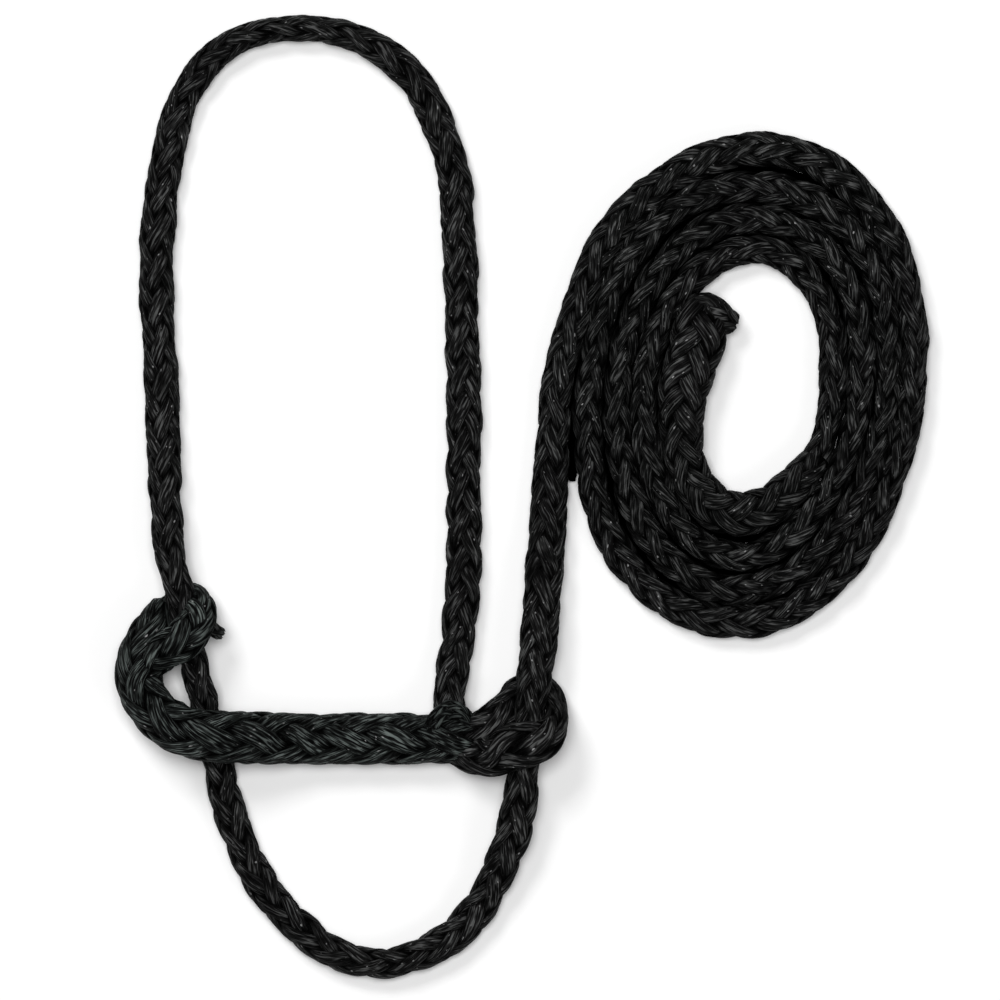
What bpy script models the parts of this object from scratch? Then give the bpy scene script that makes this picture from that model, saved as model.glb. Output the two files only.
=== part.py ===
"""Rope halter with its lead: one length of hollow braided rope, spliced and threaded through itself.

Metres, +Z up. The halter lies flat, the crown loop towards +Y and the coiled lead towards +X.
The origin is under the middle of the outline, on the surface that the rope rests on.
"""

import math

import bmesh
import bpy
import numpy as np

MM = 0.001

# Widths of the rope, in millimetres.
ROPE_RADIUS = 6.35
NOSEBAND_RADIUS = 9.25
CORE_RADIUS = 5.4
CORE_CLEARANCE = 0.3
JOIN_GAP = 0.3
SHIFT = (-0.578, 0.437)

# Spacing of the points along a rope, and the facets round it.
SAMPLES = 16
STEP = 6.0
COIL_STEP = 5.0
END_STEP = 1.2
BEVEL_RESOLUTION = 3
FLAT_SHARE = math.cos(math.pi / 10)

# Route points: x, y, height of the centre line, radius.
NOSEBAND = [
    (-18.6, -88.2, 8.7, 8.2),
    (-25.0, -88.2, 8.7, 9.1),
    (-40.0, -88.2, 8.7, 9.25),
    (-62.0, -88.2, 8.7, 9.25),
    (-78.0, -88.0, 9.8, 9.25),
    (-90.0, -87.8, 13.6, 9.25),
    (-101.0, -87.7, 18.8, 9.25),
    (-111.0, -87.4, 20.9, 9.2),
    (-119.8, -85.7, 20.6, 9.2),
    (-126.9, -82.6, 19.0, 9.1),
    (-132.2, -78.0, 16.8, 9.1),
    (-136.0, -72.6, 15.0, 9.1),
    (-137.9, -66.8, 13.6, 9.1),
    (-137.8, -59.5, 12.6, 8.8),
    (-136.2, -53.4, 11.6, 8.0),
    (-133.9, -48.9, 11.0, 6.8),
]
EYE_LOOP = [
    (-135.2, -52.0, 11.2, 4.4),
    (-133.6, -45.0, 8.6, 4.2),
    (-130.3, -39.2, 5.0, 3.7),
    (-125.4, -35.6, 3.6, 3.5),
    (-119.3, -34.2, 3.9, 3.5),
    (-114.0, -36.6, 8.4, 3.7),
    (-112.2, -42.2, 15.2, 3.9),
    (-114.0, -48.0, 20.4, 4.2),
    (-118.4, -52.4, 22.3, 4.3),
    (-124.2, -56.0, 22.2, 4.3),
    (-129.8, -58.8, 19.8, 4.3),
    (-135.6, -61.6, 16.4, 4.3),
]
EYE_TAIL = [
    (-113.3, -45.2, 18.0, 2.6),
    (-111.2, -47.8, 15.9, 2.6),
    (-109.3, -49.6, 14.2, 2.6),
    (-107.2, -50.8, 12.8, 2.4),
]
RUNNING_LOOP = [
    (-22.6, -84.4, 9.8, 4.1),
    (-16.8, -84.4, 10.2, 4.2),
    (-10.6, -80.8, 10.4, 4.3),
    (-5.4, -74.6, 8.0, 4.0),
    (-0.4, -68.4, 4.3, 3.5),
    (5.8, -66.0, 3.6, 3.5),
    (11.8, -69.2, 4.6, 3.7),
    (15.4, -75.9, 9.6, 4.1),
    (15.6, -83.9, 16.8, 4.3),
    (11.4, -90.3, 22.0, 4.3),
    (3.6, -92.9, 23.5, 4.3),
    (-3.8, -94.3, 22.0, 4.3),
    (-10.0, -96.4, 16.6, 4.3),
    (-16.0, -97.0, 10.8, 4.3),
    (-22.6, -94.6, 8.4, 4.2),
]
CROWN = [
    (-25.8, -84.0, 8.9, 5.5),
    (-25.4, -75.0, 8.4, 5.8),
    (-24.3, -66.0, 7.0, 6.2),
    (-23.2, -55.9, 6.35, 6.35),
    (-21.4, -40.0, 6.35, 6.35),
    (-20.5, -20.0, 6.35, 6.35),
    (-20.4, 10.0, 6.35, 6.35),
    (-20.5, 40.0, 6.35, 6.35),
    (-21.2, 68.0, 6.35, 6.35),
    (-22.1, 94.0, 6.35, 6.35),
    (-24.3, 118.3, 6.35, 6.35),
    (-29.2, 134.6, 6.3, 6.3),
    (-37.9, 150.6, 6.1, 6.1),
    (-51.0, 161.8, 5.6, 5.6),
    (-65.3, 168.0, 5.0, 5.0),
    (-81.0, 169.6, 4.7, 4.7),
    (-96.0, 167.6, 4.8, 4.8),
    (-108.9, 161.4, 5.2, 5.2),
    (-118.0, 151.0, 5.7, 5.7),
    (-124.2, 138.4, 6.1, 6.1),
    (-128.6, 118.3, 6.35, 6.35),
    (-131.2, 96.6, 6.35, 6.35),
    (-131.8, 72.0, 6.35, 6.35),
    (-130.4, 44.0, 6.35, 6.35),
    (-129.4, 20.3, 6.9, 6.2),
    (-128.5, 0.0, 9.4, 5.8),
    (-127.0, -19.0, 12.4, 5.2),
]
CHEEK = [
    (-127.0, -19.0, 12.4, 5.2),
    (-124.8, -28.8, 12.4, 4.9),
    (-118.2, -58.2, 12.4, 4.9),
    (-116.0, -68.0, 12.4, 5.2),
]
CHIN_LEFT = [
    (-116.0, -68.0, 12.4, 5.2),
    (-115.3, -71.2, 12.0, 5.2),
    (-113.9, -77.2, 8.9, 5.2),
    (-112.3, -83.6, 6.2, 5.3),
    (-110.6, -92.0, 5.4, 5.3),
    (-108.6, -101.0, 5.7, 5.6),
    (-106.4, -110.3, 5.9, 5.9),
    (-103.1, -121.2, 6.0, 6.0),
    (-98.0, -132.6, 6.0, 6.0),
    (-90.6, -145.0, 6.1, 6.1),
    (-80.0, -156.4, 6.2, 6.2),
    (-68.6, -165.0, 6.0, 6.0),
    (-54.0, -169.8, 5.3, 5.3),
]
CHIN_RIGHT = [
    (-54.0, -169.8, 5.3, 5.3),
    (-43.0, -168.8, 5.4, 5.4),
    (-31.8, -163.6, 6.0, 6.0),
    (-20.4, -154.6, 6.5, 6.3),
    (-11.6, -143.0, 7.8, 6.3),
    (-4.9, -128.6, 10.8, 6.0),
    (-0.6, -113.0, 13.0, 5.7),
]
LEAD_LEG = [
    (-0.6, -113.0, 13.0, 5.7),
    (1.2, -98.0, 13.0, 5.6),
    (4.9, -67.3, 13.0, 5.6),
    (6.7, -52.3, 13.0, 5.9),
    (8.1, -38.0, 11.4, 6.3),
    (9.4, -22.0, 8.4, 6.5),
    (10.4, -4.0, 6.6, 6.5),
]
LEAD_RISE = [
    (10.4, -4.0, 6.6, 6.5),
    (11.4, 10.0, 6.5, 6.5),
    (12.7, 24.0, 6.4, 6.4),
    (14.7, 39.0, 6.0, 6.0),
]
LEAD_END = [
    (107.6, 14.0, 5.0, 4.7),
    (101.4, 6.0, 6.2, 6.1),
    (93.6, -1.2, 7.0, 7.0),
    (83.5, -5.0, 7.3, 7.3),
    (73.2, -3.8, 7.4, 7.4),
    (65.2, 2.8, 7.6, 7.6),
    (60.2, 14.0, 8.0, 8.0),
    (58.6, 25.8, 8.6, 8.6),
    (59.2, 38.5, 9.2, 9.2),
    (61.8, 50.6, 9.4, 9.4),
    (64.8, 60.6, 8.6, 8.6),
]
LEAD_TAIL = [
    (66.0, 58.0, 7.0, 5.0),
    (67.2, 65.0, 7.0, 5.2),
    (71.2, 67.2, 6.8, 5.0),
    (75.4, 65.2, 6.4, 4.0),
    (79.2, 62.8, 6.0, 2.9),
]

# The coil is an oval spiral, wound clockwise from the side that faces the halter. Each reach is taken
# half a turn after the one before it.
COIL_CENTRE = (82.8, 39.2)
COIL_TILT = math.radians(7.0)
COIL_SIDE_REACH = (67.9, 59.9, 56.3, 50.5, 46.8, 40.7, 37.4, 31.4)
COIL_END_REACH = (86.8, 85.3, 72.6, 73.7, 60.9, 61.8, 50.3)
COIL_FIRST_TURN = 0.08
COIL_LAST_TURN = 3.5
COIL_SAMPLES = 300
COIL_SIDE_RADIUS = 4.55
COIL_END_RADIUS = 5.45
COIL_RADIUS_LOSS = 0.12


def smooth(route):
    """A dense smooth curve through the route, and how far along it each route point lies."""
    knots = np.array(route, float)
    knots = np.vstack([2 * knots[0] - knots[1], knots, 2 * knots[-1] - knots[-2]])
    gaps = np.linalg.norm(np.diff(knots[:, :3], axis=0), axis=1)
    times = np.concatenate([[0.0], np.cumsum(np.sqrt(gaps))])
    dense = []
    for index in range(1, len(knots) - 2):
        t0, t1, t2, t3 = times[index - 1 : index + 3]
        p0, p1, p2, p3 = knots[index - 1 : index + 3]
        for t in np.linspace(t1, t2, SAMPLES, endpoint=False):
            a1 = p0 + (p1 - p0) * (t - t0) / (t1 - t0)
            a2 = p1 + (p2 - p1) * (t - t1) / (t2 - t1)
            a3 = p2 + (p3 - p2) * (t - t2) / (t3 - t2)
            b1 = a1 + (a2 - a1) * (t - t0) / (t2 - t0)
            b2 = a2 + (a3 - a2) * (t - t1) / (t3 - t1)
            dense.append(b1 + (b2 - b1) * (t - t1) / (t2 - t1))
    dense.append(knots[-2])
    dense = np.array(dense)
    lengths = np.linalg.norm(np.diff(dense[:, :3], axis=0), axis=1)
    along = np.concatenate([[0.0], np.cumsum(lengths)])
    return dense, along, along[::SAMPLES]


def stretch(dense, along, start, end, step):
    """Evenly spaced points from start to end, with one close to each end to set the cut square."""
    start += JOIN_GAP / 2
    end -= JOIN_GAP / 2
    inner = np.linspace(start + END_STEP, end - END_STEP, max(2, round((end - start) / step)))
    wanted = np.concatenate([[start], inner, [end]])
    points = np.column_stack([np.interp(wanted, along, dense[:, k]) for k in range(4)])
    points[:, 2] = np.maximum(points[:, 2], points[:, 3] * FLAT_SHARE)
    return points


def spaced(route, step):
    dense, along, _ = smooth(route)
    return stretch(dense, along, 0.0, along[-1], step)


def lengths_of_rope(named_routes):
    """Each named stretch of one continuous rope, so that neighbours meet squarely."""
    whole = list(named_routes[0][1])
    for _, route, _ in named_routes[1:]:
        whole += route[1:]
    dense, along, marks = smooth(whole)
    result = {}
    first = 0
    for name, route, step in named_routes:
        last = first + len(route) - 1
        result[name] = stretch(dense, along, marks[first], marks[last], step)
        first = last
    return result


def tube(name, points, collection):
    """A rope of round section with flat ends, as a poly curve with a bevel."""
    curve = bpy.data.curves.new(name, "CURVE")
    curve.dimensions = "3D"
    curve.twist_mode = "Z_UP"
    curve.bevel_depth = MM
    curve.bevel_resolution = BEVEL_RESOLUTION
    curve.use_fill_caps = True
    spline = curve.splines.new("POLY")
    spline.points.add(len(points) - 1)
    for point, (x, y, z, radius) in zip(spline.points, points):
        point.co = ((x + SHIFT[0]) * MM, (y + SHIFT[1]) * MM, z * MM, 1.0)
        point.radius = radius
    obj = bpy.data.objects.new(name, curve)
    collection.objects.link(obj)
    return obj


def lengthened(points, extra):
    """The same points, with the ends moved outwards along the rope."""
    longer = points.copy()
    start = points[0, :3] - points[1, :3]
    end = points[-1, :3] - points[-2, :3]
    longer[0, :3] += start / np.linalg.norm(start) * extra
    longer[-1, :3] += end / np.linalg.norm(end) * extra
    return longer


def thickened(points, extra):
    thicker = points.copy()
    thicker[:, 3] += extra
    return thicker


def to_mesh(obj):
    """The curve's solid as a mesh object of the same name, with its caps welded on."""
    graph = bpy.context.evaluated_depsgraph_get()
    mesh = bpy.data.meshes.new_from_object(obj.evaluated_get(graph))
    work = bmesh.new()
    work.from_mesh(mesh)
    bmesh.ops.remove_doubles(work, verts=work.verts, dist=1e-6)
    bmesh.ops.recalc_face_normals(work, faces=work.faces)
    work.to_mesh(mesh)
    work.free()
    name = obj.name
    solid = bpy.data.objects.new(name + "_solid", mesh)
    solid.matrix_world = obj.matrix_world
    for collection in obj.users_collection:
        collection.objects.link(solid)
    bpy.data.objects.remove(obj)
    solid.name = name
    return solid


def cut(obj, cutter):
    modifier = obj.modifiers.new("cut_" + cutter.name, "BOOLEAN")
    modifier.operation = "DIFFERENCE"
    modifier.solver = "EXACT"
    modifier.object = cutter


def squared(value, square):
    """Pulls a sine or cosine a little towards -1 or 1, so an oval fills out at its corners."""
    return math.copysign(abs(value) ** (1 - square), value)


def coil_points():
    """The oval spiral: reach along and across the oval is read off at each part of a turn."""
    side_turns = np.arange(len(COIL_SIDE_REACH)) * 0.5
    end_turns = np.arange(len(COIL_END_REACH)) * 0.5 + 0.25
    rows = []
    for turn in np.linspace(COIL_FIRST_TURN, COIL_LAST_TURN, COIL_SAMPLES):
        angle = math.pi - 2 * math.pi * turn
        square = np.interp(turn, (0, 1, 3), (0.09, 0.07, 0.0)) * (1.0 if math.cos(angle) < 0 else 0.4)
        across = float(np.interp(turn, side_turns, COIL_SIDE_REACH)) * squared(math.cos(angle), square)
        along = float(np.interp(turn, end_turns, COIL_END_REACH)) * squared(math.sin(angle), square)
        x = COIL_CENTRE[0] + across * math.cos(COIL_TILT) + along * math.sin(COIL_TILT)
        y = COIL_CENTRE[1] - across * math.sin(COIL_TILT) + along * math.cos(COIL_TILT)
        radius = COIL_SIDE_RADIUS + (COIL_END_RADIUS - COIL_SIDE_RADIUS) * math.sin(angle) ** 2
        radius -= COIL_RADIUS_LOSS * turn
        rows.append((x, y, radius, radius))
    return rows


def lead_coil_route():
    """The whole coil, from the rise of the lead to the point where the thick end starts."""
    spiral = coil_points()[::6]
    return LEAD_RISE + spiral + [(111.4, 23.6, 4.4, 4.4), LEAD_END[0]]


def material(name, value, roughness):
    made = bpy.data.materials.new(name)
    made.use_nodes = True
    shader = made.node_tree.nodes["Principled BSDF"]
    shader.inputs["Base Color"].default_value = (value, value, value * 1.04, 1.0)
    shader.inputs["Roughness"].default_value = roughness
    made.diffuse_color = (value, value, value, 1.0)
    return made


for old in list(bpy.data.objects):
    bpy.data.objects.remove(old)

parts = bpy.data.collections.new("rope_halter")
cutters = bpy.data.collections.new("cutters")
bpy.context.scene.collection.children.link(parts)
bpy.context.scene.collection.children.link(cutters)

# Noseband: a swollen sheath, hollow from end to end, with the buried rope inside it.
noseband_points = spaced(NOSEBAND, STEP)
noseband = to_mesh(tube("noseband_sheath", noseband_points, parts))
bore_points = lengthened(noseband_points, 2.0)
bore_points[:, 3] = CORE_RADIUS + CORE_CLEARANCE
noseband_bore = to_mesh(tube("noseband_bore", bore_points, cutters))
core_points = lengthened(noseband_points, -0.5)
core_points[:, 3] = CORE_RADIUS
tube("noseband_core", core_points, parts)
cut(noseband, noseband_bore)

# Everything that comes out of the noseband ends just short of its surface.
clear_points = thickened(lengthened(noseband_points, JOIN_GAP), JOIN_GAP)
noseband_clearance = to_mesh(tube("noseband_clearance", clear_points, cutters))

eye_points = spaced(EYE_LOOP, 4.0)
eye = to_mesh(tube("eye_loop", eye_points, parts))
cut(eye, noseband_clearance)
eye_clearance = to_mesh(tube("eye_clearance", thickened(eye_points, JOIN_GAP), cutters))
tail = to_mesh(tube("eye_tail", spaced(EYE_TAIL, 3.0), parts))
cut(tail, eye_clearance)

running = to_mesh(tube("running_loop", spaced(RUNNING_LOOP, 4.0), parts))
cut(running, noseband_clearance)

# The rope runs on through the eye, round the chin, through the running loop and into the coil.
run = lengths_of_rope(
    [
        ("crown_rope", CROWN, STEP),
        ("cheek_rope", CHEEK, STEP),
        ("chin_rope_left", CHIN_LEFT, STEP),
        ("chin_rope_right", CHIN_RIGHT, STEP),
        ("lead_leg", LEAD_LEG, STEP),
        ("lead_coil", lead_coil_route(), COIL_STEP),
        ("lead_end_sheath", LEAD_END, STEP),
    ]
)
crown = to_mesh(tube("crown_rope", run["crown_rope"], parts))
cut(crown, noseband_clearance)
for name in ("cheek_rope", "chin_rope_left", "chin_rope_right", "lead_leg", "lead_coil"):
    tube(name, run[name], parts)

# Thick end of the lead: a sheath over the buried end, whose cut tip folds out to the side.
end_points = run["lead_end_sheath"]
end_sheath = to_mesh(tube("lead_end_sheath", end_points, parts))
end_bore_points = lengthened(end_points, 2.0)
end_bore_points[:, 3] = np.minimum(end_points[:, 3] - 1.2, CORE_RADIUS) - 0.6 + CORE_CLEARANCE
end_bore = to_mesh(tube("lead_end_bore", end_bore_points, cutters))
cut(end_sheath, end_bore)
end_core_points = lengthened(end_points, -0.5)
end_core_points[:, 3] = end_bore_points[:, 3] - CORE_CLEARANCE
tube("lead_end_core", end_core_points, parts)
end_clearance_points = thickened(lengthened(end_points, JOIN_GAP), JOIN_GAP)
end_clearance = to_mesh(tube("lead_end_clearance", end_clearance_points, cutters))
end_tail = to_mesh(tube("lead_end_tail", spaced(LEAD_TAIL, 3.0), parts))
cut(end_tail, end_clearance)

for cutter in cutters.objects:
    cutter.hide_render = True
    cutter.display_type = "WIRE"

shades = {
    "noseband_sheath": (0.030, 0.55),
    "noseband_core": (0.020, 0.65),
    "eye_loop": (0.032, 0.55),
    "eye_tail": (0.036, 0.60),
    "running_loop": (0.028, 0.55),
    "crown_rope": (0.026, 0.58),
    "cheek_rope": (0.024, 0.58),
    "chin_rope_left": (0.025, 0.58),
    "chin_rope_right": (0.027, 0.58),
    "lead_leg": (0.025, 0.58),
    "lead_coil": (0.029, 0.58),
    "lead_end_sheath": (0.031, 0.55),
    "lead_end_core": (0.020, 0.65),
    "lead_end_tail": (0.034, 0.60),
}
for name, (value, roughness) in shades.items():
    parts.objects[name].data.materials.append(material(name + "_rope", value, roughness))
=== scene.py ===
import math

import bpy
import numpy as np
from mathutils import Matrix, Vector


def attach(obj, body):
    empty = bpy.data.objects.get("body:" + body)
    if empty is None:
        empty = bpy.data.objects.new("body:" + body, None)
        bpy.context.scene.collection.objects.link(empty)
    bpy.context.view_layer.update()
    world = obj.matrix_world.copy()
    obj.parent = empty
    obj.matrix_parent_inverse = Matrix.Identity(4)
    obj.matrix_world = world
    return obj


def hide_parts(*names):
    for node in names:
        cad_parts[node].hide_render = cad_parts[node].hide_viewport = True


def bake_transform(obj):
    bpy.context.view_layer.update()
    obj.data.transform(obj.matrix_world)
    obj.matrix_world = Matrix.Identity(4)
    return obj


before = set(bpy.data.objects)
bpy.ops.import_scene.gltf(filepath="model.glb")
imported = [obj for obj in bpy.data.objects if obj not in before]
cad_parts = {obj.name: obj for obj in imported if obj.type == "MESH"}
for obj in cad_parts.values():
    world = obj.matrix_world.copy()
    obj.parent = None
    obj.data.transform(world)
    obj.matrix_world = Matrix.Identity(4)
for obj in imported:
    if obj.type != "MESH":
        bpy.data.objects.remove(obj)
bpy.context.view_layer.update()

MM = 0.001
# From the routes' origin to the middle of the CAD model's box, in millimetres.
SHIFT = np.array([-0.578, 0.437, 0.0])

# Route points in millimetres: x, y, height of the centre line, half width, half height.
NOSEBAND = [
    (-18.0, -88.2, 9.2, 7.6, 8.2),
    (-22.0, -88.3, 8.9, 8.8, 8.6),
    (-28.0, -88.0, 8.8, 9.0, 8.8),
    (-40.0, -87.9, 8.8, 9.2, 8.8),
    (-62.0, -88.0, 8.8, 9.3, 8.8),
    (-78.0, -88.0, 9.8, 9.4, 8.8),
    (-90.0, -87.6, 13.6, 9.5, 8.8),
    (-101.0, -87.3, 18.8, 9.5, 8.8),
    (-111.0, -86.9, 20.6, 9.6, 8.6),
    (-119.8, -85.5, 20.4, 9.3, 8.6),
    (-126.9, -82.2, 19.0, 9.0, 8.6),
    (-132.3, -77.8, 16.8, 8.4, 8.6),
    (-136.0, -72.4, 15.0, 8.5, 8.6),
    (-137.9, -66.6, 13.6, 8.7, 8.6),
    (-137.4, -60.0, 12.6, 9.0, 8.6),
    (-135.0, -53.4, 12.0, 8.6, 8.0),
    (-132.6, -47.0, 11.0, 7.0, 7.0),
    (-130.6, -41.5, 9.6, 5.0, 5.4),
    (-129.4, -37.8, 8.0, 3.0, 3.6),
]
EYE_LOOP = [
    (-136.4, -53.4, 11.0, 5.0, 4.4),
    (-133.0, -47.4, 8.4, 4.6, 4.0),
    (-129.2, -41.8, 5.0, 4.6, 3.4),
    (-124.6, -38.2, 3.8, 4.8, 3.2),
    (-119.8, -36.6, 6.0, 5.2, 3.6),
    (-116.8, -38.8, 12.0, 5.8, 4.0),
    (-116.4, -43.4, 17.6, 6.8, 4.2),
    (-118.4, -48.4, 21.0, 7.6, 4.2),
    (-122.4, -52.4, 22.4, 7.6, 4.0),
    (-127.0, -55.4, 21.6, 7.0, 3.8),
    (-131.6, -58.8, 19.0, 6.2, 3.8),
    (-136.0, -63.0, 15.8, 5.2, 4.0),
]
EYE_TAIL = [
    (-116.6, -44.0, 18.6, 2.6, 2.4),
    (-113.0, -46.6, 17.4, 2.8, 2.4),
    (-110.6, -48.8, 15.4, 2.8, 2.3),
    (-107.6, -50.4, 13.0, 2.4, 2.0),
]
RUNNING_LOOP = [
    (-24.6, -87.4, 9.6, 4.8, 4.2),
    (-17.6, -85.6, 11.6, 6.2, 4.4),
    (-10.4, -82.0, 12.0, 6.4, 4.4),
    (-4.6, -76.9, 9.6, 6.5, 4.0),
    (0.0, -71.4, 5.4, 6.2, 3.2),
    (5.4, -68.4, 3.6, 5.2, 3.1),
    (10.6, -70.6, 4.6, 4.6, 3.4),
    (12.9, -76.0, 9.6, 4.1, 4.0),
    (12.8, -82.4, 16.6, 4.7, 4.2),
    (9.4, -86.9, 21.0, 6.8, 4.0),
    (3.4, -89.3, 22.6, 8.3, 3.7),
    (-3.6, -91.1, 21.4, 8.5, 3.8),
    (-10.2, -94.4, 17.0, 7.6, 4.2),
    (-17.0, -94.2, 12.4, 6.4, 4.6),
    (-25.0, -91.6, 9.4, 4.8, 4.4),
]
CROWN = [
    (-25.2, -86.0, 9.2, 5.2, 4.6),
    (-25.4, -76.0, 8.4, 5.8, 4.8),
    (-24.9, -66.8, 6.6, 6.1, 4.9),
    (-23.2, -55.9, 5.2, 6.3, 4.9),
    (-21.4, -41.0, 4.9, 6.35, 4.9),
    (-20.5, -20.0, 4.9, 6.35, 4.9),
    (-20.4, 10.0, 4.9, 6.35, 4.9),
    (-20.5, 40.0, 4.9, 6.35, 4.9),
    (-21.2, 68.0, 4.9, 6.3, 4.9),
    (-22.1, 94.0, 4.9, 6.3, 4.9),
    (-24.4, 118.3, 4.9, 6.2, 4.9),
    (-29.5, 134.5, 5.0, 5.8, 5.0),
    (-37.9, 150.4, 5.2, 6.0, 5.2),
    (-51.0, 161.6, 5.4, 5.5, 5.4),
    (-65.3, 167.8, 5.6, 5.0, 5.6),
    (-81.0, 169.4, 5.7, 4.7, 5.7),
    (-96.0, 167.6, 5.7, 4.8, 5.7),
    (-108.9, 161.4, 5.5, 5.2, 5.5),
    (-118.0, 151.0, 5.2, 5.6, 5.2),
    (-124.2, 138.4, 5.0, 6.0, 5.0),
    (-128.6, 118.3, 4.9, 6.2, 4.9),
    (-131.2, 96.6, 4.9, 6.3, 4.9),
    (-131.8, 72.0, 4.9, 6.3, 4.9),
    (-130.4, 44.0, 5.0, 6.3, 4.9),
    (-129.4, 20.3, 6.2, 6.0, 4.9),
    (-128.5, 0.0, 9.0, 5.8, 4.9),
    (-127.0, -19.0, 12.2, 5.6, 4.7),
]
CHEEK = [
    (-127.0, -19.0, 12.2, 5.6, 4.7),
    (-124.8, -28.8, 12.4, 5.4, 4.5),
    (-118.2, -58.2, 12.4, 5.4, 4.5),
    (-116.0, -68.0, 12.4, 5.5, 4.7),
]
CHIN_LEFT = [
    (-116.0, -68.0, 12.4, 5.5, 4.7),
    (-115.3, -71.2, 12.0, 5.5, 4.7),
    (-113.9, -77.2, 8.9, 5.6, 4.7),
    (-112.3, -83.6, 6.2, 5.7, 4.8),
    (-110.6, -92.0, 5.2, 5.8, 4.8),
    (-108.6, -101.0, 4.9, 5.9, 4.8),
    (-106.4, -110.3, 4.9, 6.0, 4.9),
    (-102.7, -121.1, 4.9, 6.0, 4.9),
    (-98.0, -132.5, 4.9, 5.9, 4.9),
    (-90.7, -145.1, 4.9, 6.0, 4.9),
    (-80.0, -156.4, 5.0, 6.2, 5.0),
    (-68.6, -164.8, 5.2, 6.0, 5.2),
    (-54.0, -169.6, 5.4, 5.4, 5.4),
]
CHIN_RIGHT = [
    (-54.0, -169.6, 5.4, 5.4, 5.4),
    (-43.0, -168.6, 5.4, 5.5, 5.3),
    (-31.6, -164.0, 5.3, 5.9, 5.2),
    (-19.9, -155.3, 5.3, 6.2, 5.1),
    (-11.3, -143.2, 6.6, 6.3, 5.0),
    (-4.8, -128.7, 10.0, 6.4, 4.9),
    (-0.4, -113.0, 12.4, 6.3, 4.8),
]
LEAD_LEG = [
    (-0.4, -113.0, 12.4, 6.3, 4.8),
    (1.2, -98.0, 12.8, 6.0, 4.7),
    (4.9, -67.3, 12.6, 6.2, 4.7),
    (6.7, -52.3, 12.2, 6.6, 4.8),
    (8.1, -38.0, 10.4, 6.8, 4.9),
    (9.4, -22.0, 7.6, 6.9, 5.0),
    (10.4, -4.0, 5.6, 6.8, 5.0),
]
LEAD_RISE = [
    (10.4, -4.0, 5.6, 6.8, 5.0),
    (11.4, 10.0, 5.1, 6.6, 5.0),
    (12.1, 24.0, 5.1, 6.3, 5.1),
    (13.2, 39.0, 5.3, 6.0, 5.3),
]
LEAD_END = [
    (107.6, 14.0, 5.8, 5.3, 5.8),
    (101.4, 6.0, 6.4, 6.6, 6.4),
    (93.6, -1.2, 6.8, 7.4, 6.8),
    (83.5, -6.2, 7.0, 8.0, 7.0),
    (73.0, -5.4, 7.2, 8.0, 7.2),
    (64.6, 2.2, 7.6, 7.5, 7.6),
    (59.7, 14.0, 8.0, 7.2, 8.0),
    (58.4, 25.8, 8.4, 8.2, 8.4),
    (59.3, 38.5, 8.6, 9.2, 8.6),
    (62.8, 50.6, 8.6, 9.9, 8.6),
    (64.8, 58.4, 8.6, 9.9, 8.4),
    (64.9, 64.6, 8.2, 8.8, 8.0),
    (65.4, 69.6, 7.2, 6.8, 6.6),
    (65.9, 72.4, 6.4, 4.6, 5.2),
]
LEAD_TAIL = [
    (63.4, 63.6, 9.6, 4.8, 4.4),
    (66.6, 68.6, 9.8, 5.2, 4.6),
    (70.0, 67.0, 9.4, 5.4, 4.4),
    (73.8, 64.0, 8.4, 5.2, 4.0),
    (78.1, 61.6, 7.0, 3.9, 3.2),
]

# Two noseband strands lie over the crown's foot. The second lies one step from the first.
COLLAR = [
    (-33.4, -84.4, 14.6, 1.9, 1.3),
    (-31.0, -79.6, 15.4, 2.0, 1.3),
    (-26.4, -76.0, 14.8, 2.1, 1.3),
    (-21.4, -77.0, 13.8, 2.0, 1.3),
    (-17.6, -81.0, 13.4, 1.9, 1.3),
]
COLLAR_WRAPS = 2
COLLAR_STEP = (0.4, -3.0, 0.8)
COLLAR_THICK = 0.8
# Painted shade: the collar's strands are darkened by this factor.
COLLAR_PAINTED_SHADE = 0.55

# The valley between the lead and the coil's outer turn, where a black tube paints shade.
BESIDE_LEAD = [
    (18.9, 5.2, 1.8, 1.2, 1.0),
    (19.0, 9.0, 2.8, 1.8, 2.4),
    (19.2, 14.0, 3.2, 1.8, 2.8),
    (19.5, 24.0, 3.4, 1.9, 3.0),
    (19.9, 39.0, 3.4, 1.9, 3.0),
]
VALLEY_HEIGHT = 3.4
VALLEY_HALF_WIDTH = 1.7
THICK_VALLEY_HALF_WIDTH = 2.2
VALLEY_HALF_HEIGHT = 3.0

# The coil is an oval spiral, wound clockwise from the side that faces the halter. Each reach is taken
# half a turn after the one before it.
COIL_CENTRE = (82.8, 39.2)
COIL_TILT = math.radians(7.0)
COIL_SIDE_REACH = (69.3, 58.8, 57.3, 50.5, 46.8, 40.7, 37.4, 30.6)
COIL_END_REACH = (86.8, 85.3, 72.6, 73.7, 60.9, 61.8, 50.3)
COIL_FIRST_TURN = 0.08
COIL_LAST_TURN = 3.5
COIL_SAMPLES = 50
# How much fuller than an ellipse the oval's corners are: turns, and the fullness at each.
COIL_FULLNESS = ((0, 1, 3, 3.5), (0.06, 0.07, 0.0, -0.12))
COIL_FULLNESS_ON_THE_RIGHT = 0.4
OUTER_TURN_FULLNESS = (
    (0.0, 0.24, 0.26, 0.5, 0.75, 0.8, 0.97, 1.0),
    (-0.04, -0.04, -0.035, -0.02, 0.0, 0.055, 0.055, 0.0),
)
# The rope stands on edge along the oval's sides and lies flatter at its ends.
COIL_SIDE_HALF_WIDTH = 5.25
COIL_END_EXTRA_WIDTH = 1.15
COIL_WIDTH_LOSS = 0.3
COIL_START_EXTRA_WIDTH = 0.9
COIL_START_WIDTH_LOSS = 4.0
COIL_SIDE_HALF_HEIGHT = 5.9
COIL_END_HEIGHT_LOSS = 0.7
COIL_LAST_POINT = (111.2, 23.6, 5.8, 4.9, 5.8)


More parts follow.
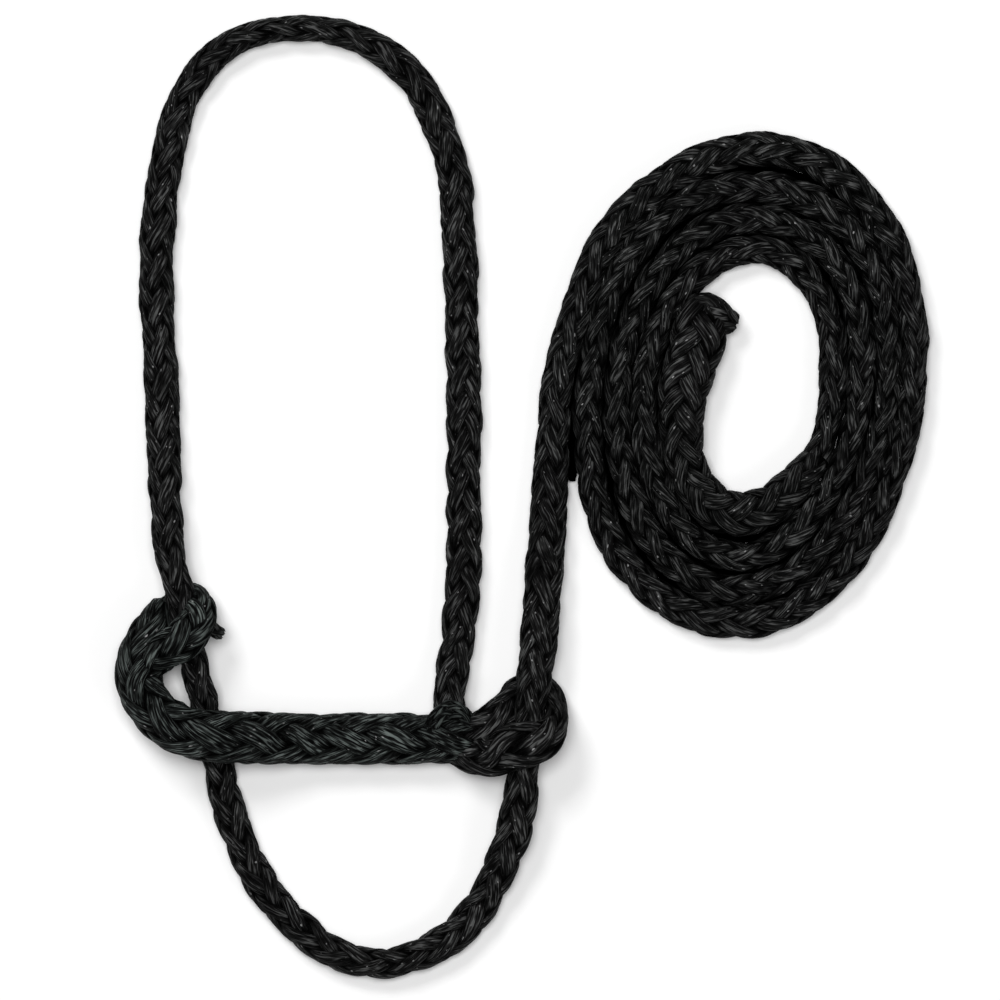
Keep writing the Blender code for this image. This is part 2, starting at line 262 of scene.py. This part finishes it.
def fuller(value, fullness):
    """Pulls a sine or cosine a little towards -1 or 1, so an oval fills out at its corners."""
    return math.copysign(abs(value) ** (1 - fullness), value)


def coil_point(turn):
    """The route point at this part of a turn round the coil."""
    angle = math.pi - 2 * math.pi * turn
    side_turns = np.arange(len(COIL_SIDE_REACH)) * 0.5
    end_turns = np.arange(len(COIL_END_REACH)) * 0.5 + 0.25
    fullness = np.interp(turn, *COIL_FULLNESS)
    if math.cos(angle) >= 0:
        fullness *= COIL_FULLNESS_ON_THE_RIGHT
    fullness += np.interp(turn, *OUTER_TURN_FULLNESS)
    across = float(np.interp(turn, side_turns, COIL_SIDE_REACH)) * fuller(math.cos(angle), fullness)
    along = float(np.interp(turn, end_turns, COIL_END_REACH)) * fuller(math.sin(angle), fullness)
    x = COIL_CENTRE[0] + across * math.cos(COIL_TILT) + along * math.sin(COIL_TILT)
    y = COIL_CENTRE[1] - across * math.sin(COIL_TILT) + along * math.cos(COIL_TILT)
    end = math.sin(angle) ** 2
    half_width = COIL_SIDE_HALF_WIDTH + end * (COIL_END_EXTRA_WIDTH - COIL_WIDTH_LOSS * turn)
    half_width += max(0.0, COIL_START_EXTRA_WIDTH - COIL_START_WIDTH_LOSS * turn)
    half_height = COIL_SIDE_HALF_HEIGHT - COIL_END_HEIGHT_LOSS * end
    return x, y, half_height, half_width, half_height


COIL = [coil_point(turn) for turn in np.linspace(COIL_FIRST_TURN, COIL_LAST_TURN, COIL_SAMPLES)]


def valley_between_turns():
    """The route of the valley between neighbouring turns of the coil."""
    rows = np.array(COIL)[:, :3]
    step = (COIL_SAMPLES - 1) / (COIL_LAST_TURN - COIL_FIRST_TURN)
    outer = np.arange(0, len(rows) - math.ceil(step))
    low = np.floor(outer + step).astype(int)
    part = (outer + step - low)[:, None]
    inner = rows[low] * (1 - part) + rows[low + 1] * part
    middle = (rows[outer] + inner) / 2
    valley = [(x, y, VALLEY_HEIGHT, VALLEY_HALF_WIDTH, VALLEY_HALF_HEIGHT) for x, y, _ in middle]
    return BESIDE_LEAD + valley


# Points on the curve between two route points, and the even spacing along a rope, in millimetres.
SAMPLES = 16
EVEN_STEP = 0.7
# The rope's direction is smoothed over this many points each way.
SMOOTHING_REACH = 6
SMOOTHING_WIDTH = 2.5
# How far an uneven rope's width and line wander, as below.
WIDTH_UNEVEN = (0.07, 8.0, 1)
LINE_UNEVEN = (0.32, 11.0, 0)


def smooth(route):
    """A dense smooth curve through the route, and how far along it each point and route point is."""
    knots = np.array(route, float)
    knots = np.vstack([2 * knots[0] - knots[1], knots, 2 * knots[-1] - knots[-2]])
    gaps = np.linalg.norm(np.diff(knots[:, :3], axis=0), axis=1)
    times = np.concatenate([[0.0], np.cumsum(np.sqrt(gaps))])
    dense = []
    for index in range(1, len(knots) - 2):
        t0, t1, t2, t3 = times[index - 1 : index + 3]
        p0, p1, p2, p3 = knots[index - 1 : index + 3]
        for t in np.linspace(t1, t2, SAMPLES, endpoint=False):
            a1 = p0 + (p1 - p0) * (t - t0) / (t1 - t0)
            a2 = p1 + (p2 - p1) * (t - t1) / (t2 - t1)
            a3 = p2 + (p3 - p2) * (t - t2) / (t3 - t2)
            b1 = a1 + (a2 - a1) * (t - t0) / (t2 - t0)
            b2 = a2 + (a3 - a2) * (t - t1) / (t3 - t1)
            dense.append(b1 + (b2 - b1) * (t - t1) / (t2 - t1))
    dense.append(knots[-2])
    dense = np.array(dense)
    dense[:, :3] += SHIFT
    lengths = np.linalg.norm(np.diff(dense[:, :3], axis=0), axis=1)
    along = np.concatenate([[0.0], np.cumsum(lengths)])
    return dense, along, along[::SAMPLES]


def wander(s, kind, seed):
    """A smooth random line along s. Its kind is how far it goes, over which length, and its own seed."""
    amount, length, own_seed = kind
    source = np.random.default_rng(seed + own_seed)
    values = source.uniform(-1, 1, int(np.max(s) / length) + 8)
    place = s / length + 2
    low = np.floor(place).astype(int)
    part = place - low
    part = part * part * (3 - 2 * part)
    return amount * (values[low] * (1 - part) + values[low + 1] * part)


def steady(value):
    """The same value all along a rope."""
    return lambda s: value + 0 * s


class Path:
    """A rope's centre line with its sideways and upward directions, read at any distance along it."""

    def __init__(self, route, uneven=0.0, seed=1):
        dense, along, self.marks = smooth(route)
        self.length = along[-1]
        self.even = np.linspace(0, self.length, max(8, int(self.length / EVEN_STEP)))
        self.rows = np.column_stack([np.interp(self.even, along, dense[:, k]) for k in range(5)])
        self.tangent = self.smoothed_direction()
        side = np.cross(np.array([0, 0, 1.0]), self.tangent)
        self.side = side / np.linalg.norm(side, axis=1)[:, None]
        self.up = np.cross(self.tangent, self.side)
        self.rows[:, 3] *= 1 + uneven * wander(self.even, WIDTH_UNEVEN, seed)
        self.rows[:, :3] += self.side * (uneven * wander(self.even, LINE_UNEVEN, seed))[:, None]

    def smoothed_direction(self):
        kernel = np.arange(-SMOOTHING_REACH, SMOOTHING_REACH + 1) / SMOOTHING_WIDTH
        kernel = np.exp(-0.5 * kernel**2)
        kernel /= kernel.sum()
        tangent = np.gradient(self.rows[:, :3], axis=0)
        padded = np.pad(tangent, ((SMOOTHING_REACH, SMOOTHING_REACH), (0, 0)), mode="edge")
        tangent = np.column_stack([np.convolve(padded[:, k], kernel, "valid") for k in range(3)])
        return tangent / np.linalg.norm(tangent, axis=1)[:, None]

    def read(self, table, s):
        flat = np.clip(s, 0, self.length).ravel()
        columns = [np.interp(flat, self.even, table[:, k]) for k in range(table.shape[1])]
        return np.column_stack(columns).reshape(s.shape + (table.shape[1],))

    def surface(self, s, angle, depth):
        """Points at a distance along the rope, an angle round it and a depth under its skin."""
        rows = self.read(self.rows, s)
        tangent = self.read(self.tangent, s)
        beyond = (s - np.clip(s, 0, self.length))[..., None]
        side = self.read(self.side, s)
        up = self.read(self.up, s)
        half_width, half_height = rows[..., 3], rows[..., 4]
        normal_x = half_height * np.cos(angle)
        normal_y = half_width * np.sin(angle)
        size = np.sqrt(normal_x**2 + normal_y**2)
        x = half_width * np.cos(angle) - depth * normal_x / size
        y = half_height * np.sin(angle) - depth * normal_y / size
        return rows[..., :3] + tangent * beyond + side * x[..., None] + up * y[..., None]


# A braid has six strands each way. Each goes over two and under two, so it rises and dips three
# times in a turn round the rope.
STRANDS_EACH_WAY = 6
STRAND_ANGLE = 2 * math.pi / STRANDS_EACH_WAY
DIPS_IN_A_TURN = STRANDS_EACH_WAY // 2
FLOAT_STEEPNESS = 1.8
OPEN_ENDS = (False, False)
CLOSED_ENDS = (True, True)
END_ROUNDING = 1.6
END_SIZE = 0.03

# A strand's section: its points, how full it is, and the bundles of fibre that show as ridges.
RING_STEP = 1.25
SECTION = np.linspace(0, 2 * math.pi, 26, endpoint=False)
SECTION_POWER = 0.85
ACROSS = np.sign(np.cos(SECTION)) * np.abs(np.cos(SECTION)) ** SECTION_POWER
UPWARD = np.sign(np.sin(SECTION)) * np.abs(np.sin(SECTION)) ** SECTION_POWER
STRAND_FIT = 1.04
FLOAT_EXTRA_WIDTH = 0.08
FLOAT_EXTRA_THICKNESS = 0.12
RIDGE_SPACING = 2.3
RIDGE_HEIGHT = 0.16

SEEDS_APART = 100
# How far each thing wanders, the length in millimetres over which it changes, and its own seed.
ANGLE_WANDER = (0.07, 12.0, 0)
SHADE_WANDER = (0.26, 14.0, 10)
WIDTH_WANDER = (0.13, 9.0, 50)
RIDGE_WANDER = (2.5, 8.0, 70)
DEPTH_WANDER = (0.16, 8.0, 90)

# Shade of a strand: its mean, painted shade where it dives under the others and along its edges, and
# painted shade on its sides where the rope is crowded.
MEAN_SHADE = 0.74
UNDER_SHADE = 0.05
UNDER_POWER = 1.5
EDGE_SHADE = 0.02
SIDE_SHADE = 0.05

# The strands' uvs are in centimetres, along a strand and round it, and apart on each strand.
MM_PER_UV = 10.0
ROUND_IN_WIDTHS = 2.2
STRAND_UV_STEP = (3.7, 5.3)


def rise(value, low, high, least=0.0):
    """Goes from 0 to 1 as the value goes from low to high, and is never under the least."""
    return np.clip((value - low) / (high - low), least, 1.0)


def closed_ends(s, ends):
    """How full the strands are along s: they close to a round end where the rope is closed."""
    closing = np.ones(len(s))
    for is_closed, from_end in zip(ends, (s - s[0], s[-1] - s)):
        if is_closed:
            part = rise(from_end, 0.0, END_ROUNDING)
            closing *= np.sqrt(1 - (1 - part) ** 2) * (1 - END_SIZE) + END_SIZE
    return closing


def tube_faces(rings, around):
    grid = np.arange(rings * around).reshape(rings, around)
    following = np.roll(grid, -1, axis=1)
    return np.stack([grid[:-1], grid[1:], following[1:], following[:-1]], axis=-1).reshape(-1, 4)


def strand_uvs(s, strand, round_length):
    """The distance along the strand and round it, for each corner of its faces."""
    around = len(SECTION)
    u = np.repeat((s / MM_PER_UV + STRAND_UV_STEP[0] * strand)[:, None], around, axis=1)
    v = np.arange(around + 1) / around * (round_length / MM_PER_UV)
    v = np.repeat(v[None], len(s), axis=0) + STRAND_UV_STEP[1] * strand
    corner_u = np.stack([u[:-1], u[1:], u[1:], u[:-1]], axis=-1)
    corner_v = np.stack([v[:-1, :-1], v[1:, :-1], v[1:, 1:], v[:-1, 1:]], axis=-1)
    return np.column_stack([corner_u.reshape(-1), corner_v.reshape(-1)])


def braid(path, start, end, pitch, roll, thick, seed, lift, ends=OPEN_ENDS, crowded=steady(0)):
    """A braid of strands along the path: vertices, faces, uvs and tones.

    The pitch is the length of a turn round the rope, and roll turns the braid about the rope. The
    strands are thick, and lie deeper or higher by lift as they go under and over. Where the rope is
    crowded by others, its sides get painted shade; the strands also get painted shade where they
    dive under others and along their edges.
    """
    rings = max(6, int(round((end - start) / RING_STEP)) + 1)
    s = np.linspace(start, end, rings)
    size = path.read(path.rows[:, 3:5], s)
    mean = np.sqrt((size[:, 0] ** 2 + size[:, 1] ** 2) / 2)
    slope = np.arctan2(2 * math.pi * mean, pitch)
    closing = closed_ends(s, ends)
    verts, faces, uvs, tones_and_painted_shade = [], [], [], []
    for strand in range(2 * STRANDS_EACH_WAY):
        way = 1 if strand < STRANDS_EACH_WAY else -1
        own = seed * SEEDS_APART + strand
        turn = way * 2 * math.pi * s / pitch + (strand % STRANDS_EACH_WAY) * STRAND_ANGLE
        turn = turn + (STRAND_ANGLE / 2 if way < 0 else 0) + wander(s, ANGLE_WANDER, own)
        over = np.tanh(FLOAT_STEEPNESS * np.sin(DIPS_IN_A_TURN * turn))
        over = way * over / math.tanh(FLOAT_STEEPNESS)

        width = STRAND_ANGLE * mean * np.cos(slope) * (STRAND_FIT + FLOAT_EXTRA_WIDTH * over)
        width = width * (1 + wander(s, WIDTH_WANDER, own)) * closing
        thickness = thick * (1 + FLOAT_EXTRA_THICKNESS * over) * closing
        offset = (width / 2)[:, None] * ACROSS
        ridge_shift = wander(s, RIDGE_WANDER, own)[:, None]
        ridge = np.cos(2 * math.pi * offset / RIDGE_SPACING + ridge_shift)
        ridge = ridge * RIDGE_HEIGHT * np.maximum(UPWARD, 0) * closing[:, None]
        middle = thick / 2 + lift - lift * over + wander(s, DEPTH_WANDER, own)
        depth = middle[:, None] - (thickness / 2)[:, None] * UPWARD - ridge
        angle = turn[:, None] + offset * np.cos(slope)[:, None] / mean[:, None]
        along = s[:, None] - way * offset * np.sin(slope)[:, None]
        points = path.surface(along, angle + roll(s)[:, None], depth)

        verts.append(points.reshape(-1, 3))
        faces.append(tube_faces(rings, len(SECTION)) + strand * rings * len(SECTION))
        uvs.append(strand_uvs(s, strand, ROUND_IN_WIDTHS * np.mean(width) + 2 * thick))

        # A random grey level along each strand, which is real, times painted shade where it dives under
        # the others, on the rope's sides where it is crowded, and along the strand's edges.
        shade = MEAN_SHADE + wander(s, SHADE_WANDER, own)
        shade *= UNDER_SHADE + (1 - UNDER_SHADE) * rise(over, -0.3, 0.6) ** UNDER_POWER
        facing = rise(np.sin(turn + roll(s)), -0.05, 0.70, SIDE_SHADE)
        shade *= 1 - crowded(s) * (1 - facing)
        painted_groove_shade = rise(1 - np.abs(ACROSS), 0.015, 0.315, EDGE_SHADE)
        tones_and_painted_shade.append((shade[:, None] * painted_groove_shade[None]).reshape(-1))
    return np.vstack(verts), np.vstack(faces), np.vstack(uvs), np.concatenate(tones_and_painted_shade)


# The core's angle runs the other way from a strand's section, so its faces are wound the other way.
FLIPPED = [0, 3, 2, 1]
CORE_STEP = 4.0
CORE_POINTS = 12
CORE_END_GAP = 0.4


def painted_shade_core(path, start, end, depth):
    """The inside of the rope, painted black as shade, seen only in the gaps between strands."""
    rings = max(3, int((end - start) / CORE_STEP) + 2)
    s = np.linspace(start + CORE_END_GAP, end - CORE_END_GAP, rings)
    angle = np.linspace(0, 2 * math.pi, CORE_POINTS, endpoint=False)
    grid_s = np.repeat(s[:, None], CORE_POINTS, axis=1)
    grid_angle = np.repeat(angle[None], rings, axis=0)
    points = path.surface(grid_s, grid_angle, np.full_like(grid_s, depth)).reshape(-1, 3)
    faces = tube_faces(rings, CORE_POINTS)[:, FLIPPED]
    # Its shading value is zero, so it is painted black as shade.
    return points, faces, np.zeros((faces.size, 2)), np.zeros(len(points))


def valley_shade_filler(route):
    """A plain black rope that paints shade into a valley between others."""
    path = Path(route)
    return painted_shade_core(path, 0, path.length, 0.0)


def mesh_object(name, parts, material):
    """One object of all the parts, with its strand uvs and its grey level and painted shade at each
    vertex.
    """
    verts, faces, uvs, tones_and_painted_shade, offset = [], [], [], [], 0
    for part_verts, part_faces, part_uvs, part_tones_and_painted_shade in parts:
        verts.append(part_verts)
        faces.append(part_faces + offset)
        uvs.append(part_uvs)
        tones_and_painted_shade.append(part_tones_and_painted_shade)
        offset += len(part_verts)
    verts = np.vstack(verts) * MM
    faces = np.vstack(faces)
    mesh = bpy.data.meshes.new(name)
    mesh.vertices.add(len(verts))
    mesh.vertices.foreach_set("co", verts.astype(np.float32).ravel())
    mesh.loops.add(faces.size)
    mesh.loops.foreach_set("vertex_index", faces.astype(np.int32).ravel())
    mesh.polygons.add(len(faces))
    mesh.polygons.foreach_set("loop_start", np.arange(0, faces.size, 4, dtype=np.int32))
    mesh.polygons.foreach_set("use_smooth", np.ones(len(faces), bool))
    mesh.update(calc_edges=True)
    layer = mesh.uv_layers.new(name="strand")
    layer.data.foreach_set("uv", np.vstack(uvs).astype(np.float32).ravel())
    tone_and_painted_shade = mesh.attributes.new("tone_and_painted_shade", "FLOAT", "POINT")
    tone_and_painted_shade.data.foreach_set("value", np.concatenate(tones_and_painted_shade).astype(np.float32))
    mesh.materials.append(material)
    obj = bpy.data.objects.new(name, mesh)
    bpy.context.scene.collection.objects.link(obj)
    return obj


# Shades of the fibres: the height in the weave of fibres, and the grey there, which paints shade on the
# low fibres and glints on the highest. Then each rope's tint.
EVEN_BLACKS_AND_PAINTED_GLINTS = ((0.24, 0.0020), (0.44, 0.0085), (0.62, 0.0180), (0.82, 0.080))
BLACKS_AND_PAINTED_GLINTS = ((0.24, 0.0012), (0.44, 0.0090), (0.62, 0.0270), (0.82, 0.125))
THIN_TINT = (1.0, 1.02, 1.01)
THICK_TINT = (0.98, 1.14, 1.08)
PAINTED_GLINT_GREY = 0.30
SHINE = 0.03
HAIR_SHARE = 0.3
BUNDLE_SHARE = 0.28
FIBRE_RELIEF = 0.0009
DULL = 0.62
GLOSSY = 0.24


def new_material(name):
    made = bpy.data.materials.new(name)
    made.use_nodes = True
    return made, made.node_tree.nodes["Principled BSDF"]


def plain_material(name, grey, roughness):
    made, shader = new_material(name)
    shader.inputs["Base Color"].default_value = (grey, grey, grey, 1)
    shader.inputs["Roughness"].default_value = roughness
    return made


def fibre_material(name, shades, tint, shine=SHINE):
    """Black split-film polypropylene: fine fibres along each strand, glossy along their length, with
    painted shade and painted glints in its colour.
    """
    made, shader = new_material(name)
    nodes, links = made.node_tree.nodes, made.node_tree.links
    uv = nodes.new("ShaderNodeUVMap")
    uv.uv_map = "strand"
    tone_and_painted_shade = nodes.new("ShaderNodeAttribute")
    tone_and_painted_shade.attribute_name = "tone_and_painted_shade"

    def streaks(along, across, detail, low, high):
        """Noise drawn out along the strand, from 0 to 1 between its low and high values."""
        mapping = nodes.new("ShaderNodeMapping")
        mapping.inputs["Scale"].default_value = (along, across, 1.0)
        noise = nodes.new("ShaderNodeTexNoise")
        noise.inputs["Scale"].default_value = 1.0
        noise.inputs["Detail"].default_value = detail
        noise.inputs["Roughness"].default_value = 0.55
        noise.inputs["Distortion"].default_value = 0.15
        spread = nodes.new("ShaderNodeMapRange")
        spread.inputs["From Min"].default_value = low
        spread.inputs["From Max"].default_value = high
        links.new(uv.outputs["UV"], mapping.inputs["Vector"])
        links.new(mapping.outputs["Vector"], noise.inputs["Vector"])
        links.new(noise.outputs["Fac"], spread.inputs["Value"])
        return spread.outputs["Result"]

    def mixed(a, b, share):
        node = nodes.new("ShaderNodeMix")
        node.data_type = "FLOAT"
        node.inputs["Factor"].default_value = share
        links.new(a, node.inputs["A"])
        links.new(b, node.inputs["B"])
        return node.outputs["Result"]

    fibres = streaks(along=1.8, across=19.0, detail=1.0, low=0.40, high=0.60)
    hairs = streaks(along=3.0, across=36.0, detail=0.0, low=0.36, high=0.64)
    bundles = streaks(along=1.2, across=8.0, detail=1.0, low=0.36, high=0.64)
    height = mixed(mixed(fibres, hairs, HAIR_SHARE), bundles, BUNDLE_SHARE)

    # Painted light: the ramp darkens the low fibres as painted shade and lightens the highest as painted
    # glints.
    ramp = nodes.new("ShaderNodeValToRGB")
    while len(ramp.color_ramp.elements) < len(shades):
        ramp.color_ramp.elements.new(0.5)
    for element, (position, grey) in zip(ramp.color_ramp.elements, shades):
        element.position = position
        element.color = (grey * tint[0], grey * tint[1], grey * tint[2], 1)
    links.new(height, ramp.inputs["Fac"])
    # Painted shade: the vertex attribute darkens the colour under crossing strands, along strand edges
    # and between the coil's turns.
    shade = nodes.new("ShaderNodeMixRGB")
    shade.blend_type = "MULTIPLY"
    shade.inputs["Fac"].default_value = 1.0
    links.new(ramp.outputs["Color"], shade.inputs["Color1"])
    links.new(tone_and_painted_shade.outputs["Color"], shade.inputs["Color2"])

    # Painted glints: a few short films of fibre face the light and are painted as pale spots.
    painted_glints = streaks(along=6.0, across=13.0, detail=0.0, low=0.77, high=0.84)
    lit = nodes.new("ShaderNodeMath")
    lit.operation = "MULTIPLY"
    links.new(painted_glints, lit.inputs[0])
    links.new(tone_and_painted_shade.outputs["Fac"], lit.inputs[1])
    glinted = nodes.new("ShaderNodeMixRGB")
    glinted.inputs["Color2"].default_value = (PAINTED_GLINT_GREY, PAINTED_GLINT_GREY, PAINTED_GLINT_GREY, 1)
    links.new(lit.outputs["Value"], glinted.inputs["Fac"])
    links.new(shade.outputs["Color"], glinted.inputs["Color1"])
    links.new(glinted.outputs["Color"], shader.inputs["Base Color"])

    glints = streaks(along=3.0, across=24.0, detail=1.0, low=0.48, high=0.72)
    rough = nodes.new("ShaderNodeMapRange")
    rough.inputs["To Min"].default_value = DULL
    rough.inputs["To Max"].default_value = GLOSSY
    links.new(glints, rough.inputs["Value"])
    links.new(rough.outputs["Result"], shader.inputs["Roughness"])

    bump = nodes.new("ShaderNodeBump")
    bump.inputs["Strength"].default_value = 1.0
    bump.inputs["Distance"].default_value = FIBRE_RELIEF
    links.new(height, bump.inputs["Height"])
    links.new(bump.outputs["Normal"], shader.inputs["Normal"])
    shader.inputs["Specular IOR Level"].default_value = shine
    return made


# Camera: straight above, far away with a long lens.
FRAME_WIDTH = 0.363
CAMERA_PLACE = (-0.00784, -0.00102, 4.0)
SENSOR_WIDTH = 36.0
camera_data = bpy.data.cameras.new("camera")
camera_data.sensor_width = SENSOR_WIDTH
camera_data.lens = SENSOR_WIDTH * CAMERA_PLACE[2] / FRAME_WIDTH
camera_data.clip_end = 20.0
camera = bpy.data.objects.new("camera", camera_data)
camera.location = CAMERA_PLACE
bpy.context.scene.collection.objects.link(camera)
bpy.context.scene.camera = camera

rope_black = fibre_material("rope_fibre", EVEN_BLACKS_AND_PAINTED_GLINTS, THIN_TINT)
thick_black = fibre_material("thick_fibre", BLACKS_AND_PAINTED_GLINTS, THICK_TINT)
# Painted shade: black with no shine, for the fillers between the coil's turns.
painted_crease_shade = fibre_material("painted_crease_shade_fibre", EVEN_BLACKS_AND_PAINTED_GLINTS, THIN_TINT, shine=0.0)

# The long run of rope, from the noseband's right end to the coil's thick end.
RUN = [
    ("crown", CROWN),
    ("cheek", CHEEK),
    ("chin_left", CHIN_LEFT),
    ("chin_right", CHIN_RIGHT),
    ("lead_leg", LEAD_LEG),
    ("coil", LEAD_RISE + COIL + [COIL_LAST_POINT, LEAD_END[0]]),
]
RUN_UNEVEN = 1.0
RUN_PITCH = 82.0
RUN_THICK = 1.9
RUN_LIFT = 0.75
RUN_CORE_DEPTH = 2.4
OWN_UNEVEN = 0.4
PATH_SEED = 900
# The roll of the braid about the run is a slow wave: its mean and height in radians, and its length.
RUN_ROLL = 0.5
RUN_ROLL_LENGTH = 210.0
# Where the lead comes among the coil's other turns: the distance into the coil, and how gradually.
CROWDED_START = 45.0
CROWDED_LENGTH = 40.0

run_route = list(RUN[0][1])
for _, stretch_route in RUN[1:]:
    run_route += stretch_route[1:]
run_path = Path(run_route, RUN_UNEVEN, PATH_SEED + 1)
spans = {}
first = 0
for run_name, stretch_route in RUN:
    last = first + len(stretch_route) - 1
    spans[run_name] = (run_path.marks[first], run_path.marks[last])
    first = last
lead_start, coil_end = spans["lead_leg"][0], spans["coil"][1]


def run_roll(s):
    return RUN_ROLL + RUN_ROLL * np.sin(s / RUN_ROLL_LENGTH)


def in_coil(s):
    """How far the rope is among the coil's other turns, where its sides get painted shade."""
    return rise(s - spans["coil"][0] - CROWDED_START, 0.0, CROWDED_LENGTH)


def run_rope(name, start, end):
    """One stretch of the long run of rope."""
    shell = braid(
        run_path, start, end, RUN_PITCH, run_roll, RUN_THICK, seed=3, lift=RUN_LIFT, crowded=in_coil
    )
    inside = painted_shade_core(run_path, start, end, RUN_CORE_DEPTH)
    return mesh_object(name, [shell, inside], rope_black)


def own_rope(name, route, pitch, roll, thick, seed, lift, ends=OPEN_ENDS, material=rope_black):
    """A length of rope with a braid of its own."""
    path = Path(route, OWN_UNEVEN, PATH_SEED + seed)
    shell = braid(path, 0, path.length, pitch, steady(roll), thick, seed, lift, ends)
    inside = painted_shade_core(path, 0, path.length, thick + lift)
    return mesh_object(name, [shell, inside], material)


# The turns near the lead's thick end, and how much further out than it a turn has to lie.
LAST_TURNS_LENGTH = 640.0
CLEAR_OF_THICK_END = 4.0
FAR_AWAY = 1e3


def valley_beside_thick_end():
    """The route of the valley between the lead's thick end and the turn of the coil outside it."""
    others = run_path.rows[run_path.even > coil_end - LAST_TURNS_LENGTH] - np.array([*SHIFT, 0, 0])
    reach = np.hypot(others[:, 0] - COIL_CENTRE[0], others[:, 1] - COIL_CENTRE[1])
    valley = []
    for x, y, _, half_width, _ in LEAD_END[1:-2]:
        own_reach = np.hypot(x - COIL_CENTRE[0], y - COIL_CENTRE[1])
        away = np.hypot(others[:, 0] - x, others[:, 1] - y)
        away[reach <= own_reach + CLEAR_OF_THICK_END] = FAR_AWAY
        other = others[np.argmin(away)]
        gap = np.hypot(other[0] - x, other[1] - y)
        share = (half_width + (gap - half_width - other[3]) / 2) / gap
        place = (x + (other[0] - x) * share, y + (other[1] - y) * share)
        valley.append((*place, VALLEY_HEIGHT, THICK_VALLEY_HALF_WIDTH, VALLEY_HALF_HEIGHT))
    return valley


def noseband_collar():
    """The noseband strands that lie over the crown's foot."""
    parts = []
    for wrap in range(COLLAR_WRAPS):
        step = [wrap * part for part in COLLAR_STEP]
        path = Path([(x + step[0], y + step[1], z + step[2], w, h) for x, y, z, w, h in COLLAR])
        verts, faces, uvs, tones_and_painted_shade = braid(
            path, 0, path.length, pitch=40.0, roll=steady(0.3), thick=COLLAR_THICK, seed=20 + wrap,
            lift=0.2, ends=CLOSED_ENDS,
        )
        parts.append((verts, faces, uvs, tones_and_painted_shade * COLLAR_PAINTED_SHADE))
        parts.append(painted_shade_core(path, 0, path.length, COLLAR_THICK))
    return mesh_object("noseband_collar", parts, thick_black)


crown = run_rope("crown_braid", *spans["crown"])
cheek = run_rope("cheek_braid", *spans["cheek"])
chin_left = run_rope("chin_braid_left", *spans["chin_left"])
chin_right = run_rope("chin_braid_right", *spans["chin_right"])
lead = run_rope("lead_braid", lead_start, coil_end)
# Painted shade: black tubes laid between the coil's turns and beside the lead's thick end.
valley_shade = mesh_object(
    "coil_valley_shade",
    [valley_shade_filler(valley_between_turns()), valley_shade_filler(valley_beside_thick_end())],
    painted_crease_shade,
)

noseband = own_rope(
    "noseband_braid", NOSEBAND, pitch=105.6, roll=1.047, thick=2.4, seed=11, lift=1.0,
    ends=(False, True), material=thick_black,
)
eye = own_rope(
    "eye_braid", EYE_LOOP, pitch=80.0, roll=0.3, thick=1.7, seed=12, lift=0.7, material=thick_black
)
eye_tail = own_rope(
    "eye_tail_strands", EYE_TAIL, pitch=50.0, roll=0.0, thick=1.2, seed=13, lift=0.3, ends=CLOSED_ENDS
)
running = own_rope(
    "running_braid", RUNNING_LOOP, pitch=105.0, roll=0.2, thick=1.7, seed=14, lift=0.7, ends=CLOSED_ENDS
)
lead_end = own_rope(
    "lead_end_braid", LEAD_END, pitch=68.0, roll=0.4, thick=2.3, seed=15, lift=0.9, ends=(False, True)
)
lead_tail = own_rope(
    "lead_tail_strands", LEAD_TAIL, pitch=60.0, roll=0.2, thick=1.4, seed=16, lift=0.4, ends=CLOSED_ENDS
)
collar = noseband_collar()

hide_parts("crown_rope")
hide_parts("cheek_rope")
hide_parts("chin_rope_left")
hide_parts("chin_rope_right")
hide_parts("lead_leg", "lead_coil")
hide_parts("noseband_sheath", "noseband_core")
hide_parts("eye_loop")
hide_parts("eye_tail")
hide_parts("running_loop")
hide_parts("lead_end_sheath", "lead_end_core")
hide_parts("lead_end_tail")

for piece in (noseband, collar, eye, eye_tail, running):
    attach(piece, "halter")
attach(cheek, "cheek")
for piece in (lead, valley_shade, lead_end, lead_tail):
    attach(piece, "lead")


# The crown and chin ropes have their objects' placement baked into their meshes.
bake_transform(crown)
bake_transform(chin_left)
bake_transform(chin_right)

# Pale floor and soft studio light. Each light: name, place, size, power in watts.
FLOOR_SIZE = 6.0
FLOOR_HEIGHT = -0.0002
WORLD_STRENGTH = 0.14
LIGHTS = [
    ("overhead", (-0.2, 0.4, 4.5), (2.0, 1.6), 150.0),
    ("key", (-0.9, 1.3, 1.9), (0.9, 0.7), 26.0),
    ("fill", (1.3, -0.9, 1.6), (1.0, 0.8), 6.0),
]


def area_light(name, location, size, power):
    """A rectangular light that faces the middle of the halter."""
    light = bpy.data.lights.new(name, "AREA")
    light.shape = "RECTANGLE"
    light.size, light.size_y = size
    light.energy = power
    obj = bpy.data.objects.new(name, light)
    obj.location = location
    obj.rotation_euler = (-Vector(location)).to_track_quat("-Z", "Y").to_euler()
    bpy.context.scene.collection.objects.link(obj)


bpy.ops.mesh.primitive_plane_add(size=FLOOR_SIZE, location=(0, 0, FLOOR_HEIGHT))
floor = bpy.context.object
floor.name = "floor"
floor.data.materials.append(plain_material("floor_white", 0.86, 0.9))

world = bpy.data.worlds.new("studio")
world.use_nodes = True
background = world.node_tree.nodes["Background"]
background.inputs["Color"].default_value = (1, 1, 1, 1)
background.inputs["Strength"].default_value = WORLD_STRENGTH
bpy.context.scene.world = world
for light in LIGHTS:
    area_light(*light)

bpy.context.scene.view_settings.view_transform = "Standard"
